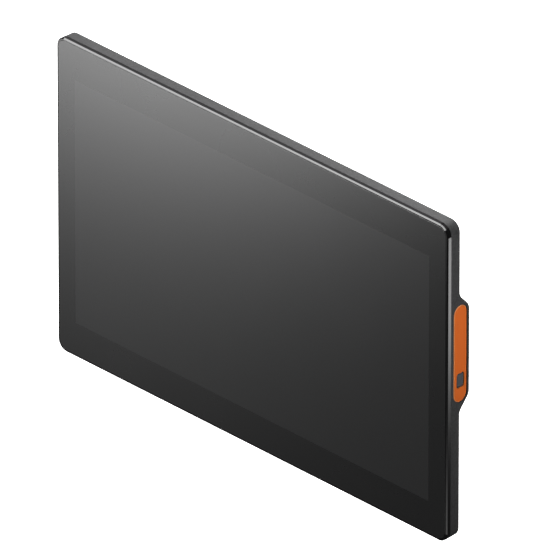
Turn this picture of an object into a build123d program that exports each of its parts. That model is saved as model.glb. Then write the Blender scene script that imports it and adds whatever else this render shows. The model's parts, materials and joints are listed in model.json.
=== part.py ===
from build123d import *
import math
import os

# A wall or stand mounted 15.6-inch touch-panel terminal, built as the pieces it comes apart into.
# Millimetres. +X is to the right seen from the front, +Y to the back, +Z up. The origin is the centre of the
# four rear mounting holes, on the rear mounting face. "Depth" is the distance behind the front of the glass.

# ---- driving dimensions -----------------------------------------------------------------------------------
PANEL_W = 380.2
PANEL_H = 250.5
DEPTH = 22.5  # front of the glass to the rear mounting face
SLAB = 12.7  # front of the glass to the back of the thin part
CORNER_R = 8.5
RIM = 3.57  # depth of the glossy front rim
RIM_CHAMFER = 0.87
LIP = 0.75  # flat front edge of the rim beside the glass
GLASS_GAP = 0.3
GLASS_T = 1.8
GLASS_BEVEL = 0.06
DRAFT = 2.0  # degrees, of the rear shell's side walls
WALL = 2.0
SEAM = 0.14  # parting line between rim and rear shell
REAR_EDGE_R = 0.9

ACTIVE_W = 344.16  # lit area of a 15.6-inch 16:9 display
ACTIVE_H = 193.59
ACTIVE_Z = -0.7

BAND_Z = 21.0  # centre of the raised band across the back
BAND_HALF = 35.1  # half height of the band, at its sharp rear corners
FLANK_RUN = 10.8  # how far the sloping flank spreads on its way down to the slab
FLANK_R = 8.25
PAD_HALF_W = 100.0  # central housing that carries the mount
PAD_LOW = -61.0
PAD_CORNER_R = 16.0
PAD_OVERLAP = 8.0  # how far the housing reaches into the band
BAND_DROP = 0.05  # the mounting face stands this much proud of the band
LEDGE_RUN = 3.0  # flat strip beyond the foot of a flank, level with the slab's face

BAY_HALF_W = 62.0  # recess for the connectors, open to below and to the back
BAY_TOP = -51.25

MOUNT_SPACING = 75.0
MOUNT_HOLE_R = 2.0  # M4 thread, drawn as a plain bore of the thread's size
MOUNT_HOLE_LEN = 9.0

PLATE_DEPTH = 13.16  # centre of the side plate, measured back from the glass
PLATE_Z = BAND_Z
PLATE_W = 12.7
PLATE_L = 75.9
PLATE_T = 0.8
PLATE_GAP = 0.6
PLATE_BEVEL = 0.45
TAPE_T = 0.15

BUTTON_Z = 0.1
BUTTON_W = 6.4
BUTTON_H = 10.2
BUTTON_R = 1.7
BUTTON_GAP = 0.7
BUTTON_SINK = 0.15
BUTTON_TRAVEL = 0.6

# ---- depths of the layers, from the front of the glass ----------------------------------------------------
LEDGE = GLASS_T + 0.3  # ledge of the rim, under the glass tape
SENSOR_BACK = 2.2
CELL_FRONT = 2.5
CELL_BACK = 3.7
FILM_FRONT = 3.75
FILM_BACK = 4.15
GUIDE_FRONT = 4.2
GUIDE_BACK = 4.9
REFLECTOR_FRONT = 4.95
PAN_FRONT = 5.2
PAN_BACK = 5.5
CHASSIS_FRONT = 5.9
CHASSIS_BACK = 6.9
BOARD_FRONT = 12.6
BOARD_BACK = 14.2
INNER_REAR = DEPTH - WALL
INNER_SLAB = SLAB - WALL

# ---- places that several pieces share ---------------------------------------------------------------------
GLASS_INSET = RIM_CHAMFER + LIP
WINDOW_INSET = 9.5
SKIRT_INSET = 2.4
SKIRT_T = 1.5
SKIRT_END = 6.6
BOSS_INSET = 6.9
BOSS_X = PANEL_W / 2 - BOSS_INSET
BOSS_Z = PANEL_H / 2 - BOSS_INSET
COVER_SCREW_X = (-BOSS_X, -62.0, 62.0, BOSS_X)
COVER_SCREWS = [(x, z) for x in COVER_SCREW_X for z in (-BOSS_Z, BOSS_Z)]
CHASSIS_SCREWS = [(x, z) for x in (-125.0, 0.0, 125.0) for z in (-BOSS_Z, BOSS_Z)]
CHASSIS_SCREWS += [(x, z) for x in (-BOSS_X, BOSS_X) for z in (-60.0, 72.0)]
SCREW_R = 1.5
SCREW_FIT = 0.03

MODULE_HALF_W = 175.3
MODULE_TOP = ACTIVE_Z + ACTIVE_H / 2 + 3.25
MODULE_LOW = ACTIVE_Z - ACTIVE_H / 2 - 10.0
MODULE_SKIN = 0.4

BOARD_HALF_W = 90.0
BOARD_LOW = -48.9
BOARD_TOP = 48.0
BOARD_SCREWS = [(x, z) for x in (-84.0, 84.0) for z in (-42.0, 42.0)] + [(0.0, 44.0), (0.0, -30.0)]
HEADER_FRONT = 11.4

DRIVER_BOARD_X = (-140.0, 58.0)
DRIVER_BOARD_Z = (-114.8, -108.2)
DRIVER_BOARD_DEPTH = (3.9, 4.7)
DISPLAY_CABLE_X = (-32.0, -8.0)
TOUCH_FLEX_X = (66.0, 78.0)
CABLE_DROP_Z = -111.6

HEAT_SINK_HALF_W = 30.0
HEAT_SINK_Z = (-17.0, 33.0)
PROCESSOR_Z = 8.0

RADIO_X = (50.0, 72.0)
RADIO_Z = (26.0, 44.0)
RADIO_BOARD_T = 0.8
RADIO_BACK = BOARD_BACK + 1.8
ANTENNA_X = (70.0, 118.0)
ANTENNA_Z = (108.0, 116.0)
ANTENNA_T = 0.3
CLOCK_CELL_AT = (-68.0, 26.0)
CLOCK_CELL_R = 10.0
CLOCK_CELL_T = 3.2

SPEAKER_X = 140.0
SPEAKER_BOX = (56.0, 44.0)
SPEAKER_SKIN = 1.5
SPEAKER_FRONT = CHASSIS_BACK + 1.4
SPEAKER_BACK = 17.4
SPEAKER_LEAD_Z = (6.0, 8.4)
DRIVER_R = 14.0
DRIVER_T = 1.8
GRILLE_W = 45.6
GRILLE_H = 27.6
GRILLE_T = 1.1
GRILLE_SINK = 0.1

VENT_COUNT = 9
VENT_PITCH = 4.2
VENT_FIRST_X = 55.0
VENT_HALF_W = 1.0
VENT_Z = (-18.0, 26.0)
LABEL_W = 56.0
LABEL_H = 34.0
LABEL_SINK = 0.2

PORT_FACE = BAY_TOP + 0.25  # mouths of the connectors, a little inside the bay's wall
PORT_GAP = 0.35
USB_A_SIZE = (13.2, 5.8, 14.0)
USB_A_X = (2.0, 20.0)
USB_C_SIZE = (8.94, 3.26, 9.0)
USB_C_X = -20.0
USB_C_FRONT = 15.0
JACK_SIZE = (9.6, 8.0, 14.0)
JACK_X = -52.0
JACK_FRONT = 12.4

# Heights over the side wall's surface of the pieces behind the key, all of them inside.
FLANGE_OUT = -WALL - 0.15
FLANGE_IN = FLANGE_OUT - 0.9
POST_END = -4.6
SWITCH_OUT = -5.4
SWITCH_BACK = -8.9
PLUNGER_BACK = -7.4
SWITCH_BOARD_T = 1.0
BRACKET_T = 1.0
BRACKET_HALF_H = 13.0
BRACKET_FOOT_X = (169.5, 179.3)
BRACKET_SCREWS = [(173.0, -7.5), (173.0, 8.0)]
SWITCH_CABLE_Z = (14.0, 18.5)


# ---- helpers ----------------------------------------------------------------------------------------------
def y_at(depth):
    """The Y of a depth behind the front of the glass."""
    return depth - DEPTH


def plate(outline, near, far):
    """An outline drawn in X and Z, as a solid between two depths."""
    plane = Plane(origin=(0, y_at(far), 0), x_dir=(1, 0, 0), z_dir=(0, -1, 0))
    return extrude(plane * outline, amount=far - near)


def block(xs, depths, zs):
    """A box given by its range in X, in depth and in Z."""
    centre = ((xs[0] + xs[1]) / 2, y_at((depths[0] + depths[1]) / 2), (zs[0] + zs[1]) / 2)
    return Pos(*centre) * Box(xs[1] - xs[0], depths[1] - depths[0], zs[1] - zs[0])


def peg(x, z, radius, near, far):
    """A round peg along the depth."""
    return plate(Pos(x, z) * Circle(radius), near, far)


def inset_rectangle(inset):
    """The panel's rounded outline, drawn in by an inset."""
    radius = max(CORNER_R - inset, 1.0)
    return RectangleRounded(PANEL_W - 2 * inset, PANEL_H - 2 * inset, radius)


def rectangle(xs, zs):
    """A plain rectangle given by its range in X and in Z."""
    return Pos((xs[0] + xs[1]) / 2, (zs[0] + zs[1]) / 2) * Rectangle(xs[1] - xs[0], zs[1] - zs[0])


def union(shapes):
    """All the shapes of a list, fused into one."""
    result = shapes[0]
    for shape in shapes[1:]:
        result = result + shape
    return result


def group(shapes):
    """Separate solids that share one node."""
    return Compound(children=list(shapes))


def screw(x, z, head_front, head_t, shank_front, radius=SCREW_R):
    """A pan-head screw driven from the back, with a cross recess."""
    head_r = radius * 1.7
    slot = radius * 0.55
    head = peg(x, z, head_r, head_front, head_front + head_t)
    rim = head.faces().sort_by(Axis.Y)[-1].edges()
    head = fillet(rim, head_t * 0.4)
    for size in ((head_r * 1.2, slot), (slot, head_r * 1.2)):
        head -= plate(Pos(x, z) * Rectangle(*size), head_front + head_t * 0.5, head_front + head_t)
    return head + peg(x, z, radius - SCREW_FIT, shank_front, head_front)


# ---- front: rim, glass and touch --------------------------------------------------------------------------
def make_front_frame():
    """Rim around the glass, with its ledge, a skirt that enters the rear shell, and the screw bosses."""
    rim = plate(inset_rectangle(0), 0, RIM)
    front_edge = rim.faces().sort_by(Axis.Y)[0].edges()
    rim = chamfer(front_edge, RIM_CHAMFER)
    rim -= plate(inset_rectangle(GLASS_INSET), 0, LEDGE)
    rim -= plate(inset_rectangle(WINDOW_INSET), LEDGE, RIM)
    skirt_outline = inset_rectangle(SKIRT_INSET) - inset_rectangle(SKIRT_INSET + SKIRT_T)
    rim += plate(skirt_outline, RIM, SKIRT_END)
    for x, z in COVER_SCREWS + CHASSIS_SCREWS:
        rim += peg(x, z, BOSS_INSET - SKIRT_INSET - SKIRT_T + 0.1, RIM, CHASSIS_FRONT)
    for x, z in COVER_SCREWS + CHASSIS_SCREWS:
        rim -= peg(x, z, SCREW_R, LEDGE + 0.7, CHASSIS_FRONT)
    return rim


def make_cover_glass():
    """Glass over the whole front, level with the rim's lip."""
    glass = plate(inset_rectangle(GLASS_INSET + GLASS_GAP), 0, GLASS_T)
    return chamfer(glass.faces().sort_by(Axis.Y)[0].edges(), GLASS_BEVEL)


def make_glass_tape():
    """Ring of adhesive between the glass and the rim's ledge."""
    return plate(inset_rectangle(GLASS_INSET + 0.8) - inset_rectangle(WINDOW_INSET - 0.9), GLASS_T, LEDGE)


def active_rectangle(margin):
    """The lit area's outline, with a margin all round."""
    return Pos(0, ACTIVE_Z) * Rectangle(ACTIVE_W + 2 * margin, ACTIVE_H + 2 * margin)


def make_touch_sensor():
    """Touch film bonded behind the glass."""
    return plate(active_rectangle(4), GLASS_T, SENSOR_BACK)


def make_optical_adhesive():
    """Clear adhesive between the touch film and the display cell."""
    return plate(active_rectangle(2), SENSOR_BACK, CELL_FRONT)


def make_touch_flex():
    """Flat cable from the sensor's lower edge, round the display and up to the main board."""
    thick = 0.15
    low = CABLE_DROP_Z
    top = BOARD_LOW + 6
    run = CHASSIS_BACK + 0.9
    sensor_low = ACTIVE_Z - ACTIVE_H / 2 - 3
    return union([
        block(TOUCH_FLEX_X, (SENSOR_BACK, SENSOR_BACK + thick), (low, sensor_low)),
        block(TOUCH_FLEX_X, (SENSOR_BACK, run + thick), (low - thick, low)),
        block(TOUCH_FLEX_X, (run, run + thick), (low - thick, top)),
        block(TOUCH_FLEX_X, (run, HEADER_FRONT), (top, top + thick)),
    ])


# ---- display module ---------------------------------------------------------------------------------------
def make_lcd_cell():
    """The display cell itself."""
    return plate(rectangle((-MODULE_HALF_W + 0.5, MODULE_HALF_W - 0.5), (MODULE_LOW + 0.5, MODULE_TOP - 0.5)),
                 CELL_FRONT, CELL_BACK)


def make_optical_films():
    """Diffusing and brightening films."""
    return plate(active_rectangle(1.0), FILM_FRONT, FILM_BACK)


def make_light_guide():
    """Clear plate that spreads the lamps' light."""
    return plate(active_rectangle(0.8), GUIDE_FRONT, GUIDE_BACK)


def make_reflector_sheet():
    """White sheet behind the light guide."""
    return plate(active_rectangle(1.0), REFLECTOR_FRONT, PAN_FRONT - 0.05)


def make_led_strip():
    """A row of small lamps on a strip, along the light guide's lower edge."""
    edge = ACTIVE_Z - ACTIVE_H / 2 - 1.0
    count = 42
    pitch = ACTIVE_W / count
    strip = block((-ACTIVE_W / 2, ACTIVE_W / 2), (GUIDE_BACK - 0.15, GUIDE_BACK), (edge - 3.2, edge - 0.1))
    lamps = [block((x - 1.5, x + 1.5), (GUIDE_FRONT, GUIDE_BACK - 0.1), (edge - 1.2, edge - 0.2))
             for x in ((i + 0.5) * pitch - ACTIVE_W / 2 for i in range(count))]
    return union([strip] + lamps)


def module_rectangle(inset):
    """The display module's outline, drawn in by an inset."""
    return rectangle((-MODULE_HALF_W + inset, MODULE_HALF_W - inset), (MODULE_LOW + inset, MODULE_TOP - inset))


def make_lcd_mould_frame():
    """Plastic frame round the films and the light guide."""
    inner = (ACTIVE_W / 2 + 1.2, ACTIVE_H / 2 + 1.2)
    window = rectangle((-inner[0], inner[0]), (ACTIVE_Z - inner[1] - 3.4, ACTIVE_Z + inner[1]))
    return plate(module_rectangle(MODULE_SKIN) - window, FILM_FRONT + 0.3, PAN_FRONT)


def make_lcd_back_pan():
    """Thin steel tray that holds the display module together."""
    floor = plate(module_rectangle(0), PAN_FRONT, PAN_BACK)
    side = plate(module_rectangle(0) - module_rectangle(MODULE_SKIN - 0.1), FILM_FRONT + 0.3, PAN_FRONT)
    return floor + side


def make_lcd_driver_board():
    """Narrow board along the module's lower edge."""
    return block(DRIVER_BOARD_X, DRIVER_BOARD_DEPTH, DRIVER_BOARD_Z)


def make_lcd_bond_films():
    """Flexible films that carry the driver chips, from the cell's lower edge to the driver board."""
    near = CELL_BACK
    count = 5
    first = DRIVER_BOARD_X[0] + 20
    pitch = (DRIVER_BOARD_X[1] - DRIVER_BOARD_X[0] - 40) / (count - 1)
    return group(block((x - 12, x + 12), (near, DRIVER_BOARD_DEPTH[0]), (DRIVER_BOARD_Z[1] - 4, MODULE_LOW + 3))
                 for x in (first + i * pitch for i in range(count)))


def make_display_cable():
    """Flat cable from the driver board, through the chassis plate, up to the main board."""
    thick = 0.4
    low = CABLE_DROP_Z
    top = BOARD_LOW + 6
    run = CHASSIS_BACK + 0.4
    return union([
        block(DISPLAY_CABLE_X, (DRIVER_BOARD_DEPTH[1], run + thick), (low - thick, low)),
        block(DISPLAY_CABLE_X, (run, run + thick), (low - thick, top)),
        block(DISPLAY_CABLE_X, (run, HEADER_FRONT), (top, top + thick)),
    ])


def make_lcd_tapes():
    """Stretch-release strips that hold the display module to the chassis plate."""
    return group(block((x - 6, x + 6), (PAN_BACK, CHASSIS_FRONT), (z - 28, z + 28))
                 for x in (-150, 150) for z in (-55, 55))


# ---- chassis ----------------------------------------------------------------------------------------------
def make_chassis_plate():
    """Steel plate behind the display, with two pressed ribs and cut-outs for the cables."""
    outline = inset_rectangle(SKIRT_INSET + SKIRT_T + 0.4)
    for xs in (DISPLAY_CABLE_X, TOUCH_FLEX_X):
        outline -= rectangle((xs[0] - 2, xs[1] + 2), (CABLE_DROP_Z - 2.5, CABLE_DROP_Z + 2))
    body = plate(outline, CHASSIS_FRONT, CHASSIS_BACK)
    for z in (-80.0, 96.0):
        body += block((-150, 150), (CHASSIS_BACK, CHASSIS_BACK + 0.3), (z - 4, z + 4))
    for x, z in COVER_SCREWS + CHASSIS_SCREWS:
        body -= peg(x, z, SCREW_R + 0.2, CHASSIS_FRONT, CHASSIS_BACK)
    for x, z in BRACKET_SCREWS:
        body -= peg(x, z, 1.0, CHASSIS_FRONT, CHASSIS_BACK)
    return body


def mount_places():
    """Centres of the four rear mounting holes."""
    half = MOUNT_SPACING / 2
    return [(x, z) for x in (-half, half) for z in (-half, half)]


def make_mount_standoffs():
    """Four steel posts from the chassis plate to the rear face, each with a blind M4 hole."""
    posts = []
    for x, z in mount_places():
        post = peg(x, z, 4.5, CHASSIS_BACK, DEPTH) + peg(x, z, 6.5, CHASSIS_BACK, CHASSIS_BACK + 1.2)
        posts.append(post - peg(x, z, MOUNT_HOLE_R, DEPTH - MOUNT_HOLE_LEN, DEPTH))
    return group(posts)


def make_board_standoffs():
    """Threaded posts that carry the main board."""
    post_r = 2.75
    floor = CHASSIS_BACK + 0.8
    return group(peg(x, z, post_r, CHASSIS_BACK, BOARD_FRONT) - peg(x, z, SCREW_R, floor, BOARD_FRONT)
                 for x, z in BOARD_SCREWS)


def make_chassis_screws():
    """Screws that hold the chassis plate to the rim's bosses."""
    return group(screw(x, z, CHASSIS_BACK, 1.3, LEDGE + 1.2) for x, z in CHASSIS_SCREWS)


# ---- main board and what stands on it ---------------------------------------------------------------------
def make_main_board():
    """Circuit board with large clearance holes for the mount posts and a notch for the power inlet."""
    outline = rectangle((-BOARD_HALF_W, BOARD_HALF_W), (BOARD_LOW, BOARD_TOP))
    for x, z in mount_places():
        outline -= Pos(x, z) * Circle(5.6)
    for x, z in BOARD_SCREWS:
        outline -= Pos(x, z) * Circle(SCREW_R + 0.15)
    for x, z in heat_sink_screw_places():
        outline -= Pos(x, z) * Circle(1.15)
    half = JACK_SIZE[0] / 2 + 0.3
    outline -= rectangle((JACK_X - half, JACK_X + half), (BOARD_LOW - 1, PORT_FACE + JACK_SIZE[2] + 0.3))
    return plate(outline, BOARD_FRONT, BOARD_BACK)


def make_board_screws():
    """Screws that hold the main board to its posts."""
    return group(screw(x, z, BOARD_BACK, 1.3, BOARD_FRONT - 4.0) for x, z in BOARD_SCREWS)


def make_processor():
    """Processor package in the middle of the board."""
    return block((-7.5, 7.5), (BOARD_BACK, BOARD_BACK + 1.2), (PROCESSOR_Z - 7.5, PROCESSOR_Z + 7.5))


def make_memory_chips():
    """Two memory chips beside the processor and one storage chip above it."""
    pair = [block((x - 5.5, x + 5.5), (BOARD_BACK, BOARD_BACK + 0.9), (PROCESSOR_Z - 7, PROCESSOR_Z + 7))
            for x in (-17.0, 17.0)]
    storage = block((-6, 6), (BOARD_BACK, BOARD_BACK + 0.9), (PROCESSOR_Z + 11, PROCESSOR_Z + 22))
    return group(pair + [storage])


def make_power_parts():
    """Inductors and upright capacitors of the supply, near the power inlet."""
    inductors = [block((x - 5, x + 5), (BOARD_BACK, BOARD_BACK + 4), (-24, -14)) for x in (-78, -65, -52)]
    capacitors = [peg(x, -3, 4, BOARD_BACK, BOARD_BACK + 5.6) for x in (-78, -67, -56)]
    return group(inductors + capacitors)


def make_board_headers():
    """Sockets on the front of the board, where the inner cables end."""
    spans = [
        (DISPLAY_CABLE_X, (BOARD_LOW + 4.5, BOARD_LOW + 8.5)),
        (TOUCH_FLEX_X, (BOARD_LOW + 4.5, BOARD_LOW + 8.5)),
        ((82, 87), (SWITCH_CABLE_Z[0] - 1, SWITCH_CABLE_Z[1] + 1)),
        ((82, 87), (SPEAKER_LEAD_Z[0] - 1, SPEAKER_LEAD_Z[1] + 1)),
        ((-87, -82), (SPEAKER_LEAD_Z[0] - 1, SPEAKER_LEAD_Z[1] + 1)),
    ]
    return group(block(xs, (HEADER_FRONT, BOARD_FRONT), zs) for xs, zs in spans)


def make_thermal_pad():
    """Soft pad between the processor and the heat sink."""
    return block((-7, 7), (BOARD_BACK + 1.2, BOARD_BACK + 2.0), (PROCESSOR_Z - 7, PROCESSOR_Z + 7))


def heat_sink_screw_places():
    """Centres of the heat sink's four screws."""
    return [(x, z) for x in (-26.5, 26.5) for z in (HEAT_SINK_Z[0] + 3.5, HEAT_SINK_Z[1] - 3.5)]


def make_heat_sink():
    """Finned aluminium block over the processor."""
    base_front = BOARD_BACK + 2.0
    base_back = base_front + 1.4
    half = HEAT_SINK_HALF_W
    sink = block((-half, half), (base_front, base_back), HEAT_SINK_Z)
    count = 11
    pitch = 4.4
    for i in range(count):
        x = (i - (count - 1) / 2) * pitch
        sink += block((x - 0.6, x + 0.6), (base_back, INNER_REAR - 0.6), HEAT_SINK_Z)
    for x, z in heat_sink_screw_places():
        sink -= peg(x, z, 1.15, base_front, base_back)
        sink -= block((x - 2.2, x + 2.2), (base_back, INNER_REAR), (z - 2.2, z + 2.2))
    return sink


def make_heat_sink_screws():
    """Small screws in the corners of the heat sink."""
    head_front = BOARD_BACK + 3.4
    tip = BOARD_FRONT - 0.6
    return group(screw(x, z, head_front, 1.0, tip, radius=1.0) for x, z in heat_sink_screw_places())


def make_radio_module():
    """Screened radio module with a step for its two antenna sockets."""
    base = block(RADIO_X, (BOARD_BACK, BOARD_BACK + RADIO_BOARD_T), RADIO_Z)
    can = block((RADIO_X[0] + 1, RADIO_X[1] - 1), (BOARD_BACK, RADIO_BACK), (RADIO_Z[0] + 1, RADIO_Z[1] - 5))
    return base + can


def make_antennas():
    """Two flat antennas stuck inside the top of the rear shell."""
    depths = (INNER_SLAB - ANTENNA_T, INNER_SLAB)
    spans = (ANTENNA_X, (-ANTENNA_X[1], -ANTENNA_X[0]))
    return group(block(xs, depths, ANTENNA_Z) for xs in spans)


def antenna_lead(start_x, end_x, cross_z):
    """A thin coaxial lead: down from an antenna, across, then back over the board's edge to the radio."""
    size = 1.1
    near = INNER_SLAB - ANTENNA_T - size
    socket_back = BOARD_BACK + RADIO_BOARD_T
    over_z = BOARD_TOP + 2.5
    ends = sorted((start_x, end_x))
    return union([
        block((start_x, start_x + size), (near, near + size), (cross_z, ANTENNA_Z[1] - 2)),
        block((ends[0], ends[1] + size), (near, near + size), (cross_z, cross_z + size)),
        block((end_x, end_x + size), (near, near + size), (over_z, cross_z + size)),
        block((end_x, end_x + size), (near, socket_back + size), (over_z, over_z + size)),
        block((end_x, end_x + size), (socket_back, socket_back + size), (RADIO_Z[1] - 3, over_z + size)),
    ])


def make_antenna_leads():
    return group([antenna_lead(90.0, 66.0, 64.0), antenna_lead(-90.0, 56.0, 60.0)])


def make_clock_cell_holder():
    """Open tray with a thin floor under the clock's cell."""
    x, z = CLOCK_CELL_AT
    half = CLOCK_CELL_R + 2
    floor = BOARD_BACK + 0.8
    top = floor + CLOCK_CELL_T + 0.6
    body = block((x - half, x + half), (BOARD_BACK, top), (z - half + 0.5, z + half - 0.5))
    return body - peg(x, z, CLOCK_CELL_R + 0.3, floor, top)


def make_clock_cell():
    """Coin cell that keeps the clock running."""
    x, z = CLOCK_CELL_AT
    floor = BOARD_BACK + 0.8
    cell = peg(x, z, CLOCK_CELL_R, floor, floor + CLOCK_CELL_T)
    return chamfer(cell.faces().sort_by(Axis.Y)[-1].edges(), 0.4)


# ---- connectors -------------------------------------------------------------------------------------------
def port_box(x, size, front):
    """The outside of a connector whose mouth opens downwards."""
    return block((x - size[0] / 2, x + size[0] / 2), (front, front + size[1]), (PORT_FACE, PORT_FACE + size[2]))


def make_power_inlet():
    """Barrel socket for a 5.5 mm plug, sunk into a notch of the board."""
    front = JACK_FRONT
    body = port_box(JACK_X, JACK_SIZE, front)
    centre = Pos(JACK_X, y_at(front + JACK_SIZE[1] / 2), PORT_FACE)
    depth = JACK_SIZE[2] - 3
    barrel = centre * Pos(0, 0, depth / 2) * Cylinder(3.2, depth)
    contact = centre * Pos(0, 0, depth / 2 + 0.75) * Cylinder(1.0, depth - 1.5)
    return body - barrel + contact


def make_usb_a_ports():
    """Two sockets: a steel shell with the contact tongue inside."""
    width, height, length = USB_A_SIZE
    front = BOARD_BACK
    skin = 0.35
    ports = []
    for x in USB_A_X:
        inside = block((x - width / 2 + skin, x + width / 2 - skin), (front + skin, front + height - skin),
                       (PORT_FACE, PORT_FACE + length - 2))
        tongue = block((x - 5.6, x + 5.6), (front + skin + 2.6, front + height - skin - 0.6),
                       (PORT_FACE + 1.2, PORT_FACE + length - 1))
        ports.append(port_box(x, USB_A_SIZE, front) - inside + tongue)
    return group(ports)


def rounded_bar(x, middle, width, height, low, high):
    """A bar along Z with fully rounded ends in its section."""
    plane = Plane(origin=(x, y_at(middle), low), x_dir=(1, 0, 0), z_dir=(0, 0, 1))
    return extrude(plane * SlotOverall(width, height), amount=high - low)


def make_usb_c_port():
    """One small oval socket with its thin tongue, on a raised foot."""
    width, height, length = USB_C_SIZE
    middle = USB_C_FRONT + height / 2
    skin = 0.3
    low = PORT_FACE
    shell = rounded_bar(USB_C_X, middle, width, height, low, low + length)
    shell -= rounded_bar(USB_C_X, middle, width - 2 * skin, height - 2 * skin, low, low + length - 1.5)
    tongue_zs = (low + 0.8, low + length - 1)
    shell += block((USB_C_X - 3.3, USB_C_X + 3.3), (middle - 0.35, middle + 0.35), tongue_zs)
    foot = block((USB_C_X - 4, USB_C_X + 4), (BOARD_BACK, USB_C_FRONT + 0.3), (BOARD_LOW + 0.2, low + length))
    return shell + foot


# ---- sound ------------------------------------------------------------------------------------------------
def make_speaker_boxes():
    """Two closed boxes on short feet, each with a round seat for its driver."""
    boxes = []
    skin = SPEAKER_SKIN
    width, height = SPEAKER_BOX
    for x in (-SPEAKER_X, SPEAKER_X):
        body = plate(Pos(x, BAND_Z) * RectangleRounded(width, height, 4), SPEAKER_FRONT, SPEAKER_BACK)
        body -= plate(Pos(x, BAND_Z) * RectangleRounded(width - 2 * skin, height - 2 * skin, 3),
                      SPEAKER_FRONT + skin, SPEAKER_BACK - skin)
        body -= peg(x, BAND_Z, DRIVER_R - skin, SPEAKER_BACK - skin, SPEAKER_BACK)
        for dx in (-20, 20):
            for dz in (-14, 14):
                body += peg(x + dx, BAND_Z + dz, 3, CHASSIS_BACK, SPEAKER_FRONT)
        boxes.append(body)
    return group(boxes)


def make_speaker_drivers():
    """Round drivers: a ring with a shallow cone and a dome."""
    drivers = []
    for x in (-SPEAKER_X, SPEAKER_X):
        far = SPEAKER_BACK + DRIVER_T
        ring = peg(x, BAND_Z, DRIVER_R, SPEAKER_BACK, far)
        ring -= peg(x, BAND_Z, DRIVER_R - 2, SPEAKER_BACK + 0.8, far)
        ring += peg(x, BAND_Z, 4.5, SPEAKER_BACK, SPEAKER_BACK + 1.4)
        drivers.append(ring)
    return group(drivers)


def make_speaker_gaskets():
    """Foam rings between the drivers and the rear wall."""
    near = SPEAKER_BACK + DRIVER_T
    far = INNER_REAR - 0.1
    return group(peg(x, BAND_Z, DRIVER_R, near, far) - peg(x, BAND_Z, DRIVER_R - 2, near, far)
                 for x in (-SPEAKER_X, SPEAKER_X))


def make_speaker_leads():
    """Twin leads from each speaker box to its header on the board."""
    near = HEADER_FRONT - 1.1
    box_edge = SPEAKER_X - SPEAKER_BOX[0] / 2
    return group(block(sorted((side * 83, side * box_edge)), (near, HEADER_FRONT), SPEAKER_LEAD_Z)
                 for side in (-1, 1))


def make_speaker_grilles():
    """Slotted inserts in the rear face."""
    count = 11
    pitch = 3.6
    grilles = []
    for x in (-SPEAKER_X, SPEAKER_X):
        outline = Pos(x, BAND_Z) * RectangleRounded(GRILLE_W, GRILLE_H, 3)
        for i in range(count):
            slot_x = x + (i - (count - 1) / 2) * pitch
            outline -= Pos(slot_x, BAND_Z) * SlotOverall(GRILLE_H - 6, 1.6, rotation=90)
        grilles.append(plate(outline, DEPTH - GRILLE_T - GRILLE_SINK, DEPTH - GRILLE_SINK))
    return group(grilles)


# ---- the side plate and the power key ---------------------------------------------------------------------
# These pieces lie square to the shell's right-hand wall, which leans in by the draft. In this local plane,
# x runs back along the wall, y runs up, and z points out of the wall, with z = 0 on its surface.
LEAN = math.radians(DRAFT)
WALL_X = PANEL_W / 2 - math.tan(LEAN) * (PLATE_DEPTH - RIM)
SIDE_PLANE = Plane(
    origin=(WALL_X, y_at(PLATE_DEPTH), PLATE_Z),
    x_dir=(-math.sin(LEAN), math.cos(LEAN), 0),
    z_dir=(math.cos(LEAN), math.sin(LEAN), 0),
)
KEY = Pos(0, BUTTON_Z - PLATE_Z)


def side_solid(outline, low, high):
    """An outline in the side plane, as a solid between two heights over the wall's surface."""
    return SIDE_PLANE * extrude(Pos(0, 0, low) * outline, amount=high - low)


def stadium(growth):
    """Outline of the side plate, grown by a margin."""
    return SlotOverall(PLATE_L + 2 * growth, PLATE_W + 2 * growth, rotation=90)


def key_outline(growth):
    """Outline of the power key, grown by a margin."""
    return KEY * RectangleRounded(BUTTON_W + 2 * growth, BUTTON_H + 2 * growth, BUTTON_R + growth)


def make_side_plate():
    """Coloured plate with rounded ends, let into the side wall, with the key's opening."""
    body = side_solid(stadium(0), -PLATE_T, 0)
    outer = body.faces().sort_by(Axis.X)[-1].edges()
    body = chamfer(outer, PLATE_BEVEL)
    return body - side_solid(key_outline(BUTTON_GAP), -PLATE_T, 0)


def make_side_plate_tape():
    """Adhesive film behind the side plate."""
    return side_solid(stadium(-1.0) - key_outline(1.0), -PLATE_T - TAPE_T, -PLATE_T)


def make_power_button():
    """Key cap with a flange behind the wall and a post that reaches the switch."""
    cap = side_solid(key_outline(0), FLANGE_OUT, -BUTTON_SINK)
    cap = fillet(cap.faces().sort_by(Axis.X)[-1].edges(), 0.45)
    flange = side_solid(key_outline(1.3), FLANGE_IN, FLANGE_OUT)
    post = side_solid(KEY * Circle(1.7), POST_END, FLANGE_IN)
    return cap + flange + post


def make_switch_plunger():
    """Short plunger of the switch, moved by the key's post."""
    return side_solid(KEY * Circle(1.6), PLUNGER_BACK, POST_END)


def make_switch_body():
    """Tactile switch: a square body with a well for its plunger."""
    body = side_solid(KEY * Rectangle(6, 6), SWITCH_BACK, SWITCH_OUT)
    return body - side_solid(KEY * Circle(1.75), PLUNGER_BACK - BUTTON_TRAVEL - 0.2, SWITCH_OUT)


def make_switch_board():
    """Small board that carries the switch, with a tail down to its cable."""
    return side_solid(KEY * Pos(0, 3) * RectangleRounded(9.6, 32, 1), SWITCH_BACK - SWITCH_BOARD_T, SWITCH_BACK)


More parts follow.
